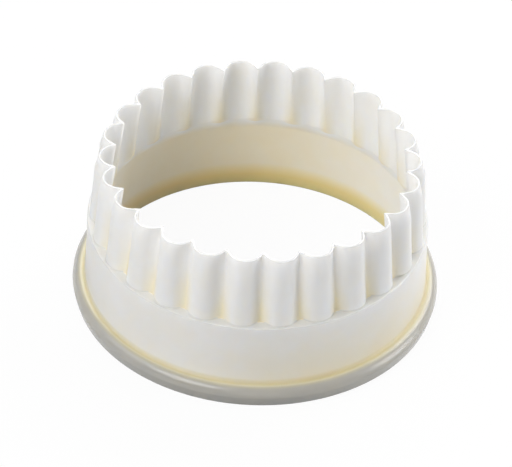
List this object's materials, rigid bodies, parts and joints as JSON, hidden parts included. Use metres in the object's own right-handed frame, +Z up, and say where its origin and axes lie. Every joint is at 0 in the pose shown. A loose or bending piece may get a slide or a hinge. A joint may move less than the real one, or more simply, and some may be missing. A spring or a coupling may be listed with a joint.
{
  "type": "fluted dough cutter",
  "caption": "Round fluted dough cutter: a plain plastic ring on a wide grip flange, with a scalloped wall that tapers to a thin cutting edge.",
  "frame": {"origin": "centre of the underside of the grip flange, on the surface that the cutter stands on", "axes": "+Z up along the cutter's axis, from the flange to the cutting edge; +X through the crest of one flute"},
  "size_m": [0.0784, 0.0784, 0.035],
  "materials": {
    "moulding": "satin ivory white, slightly translucent"
  },
  "bodies": {
    "root": {"grip_flange": "moulding", "plain_wall": "moulding", "fluted_wall": "moulding", "cutting_lip": "moulding"}
  },
  "joints": []
}
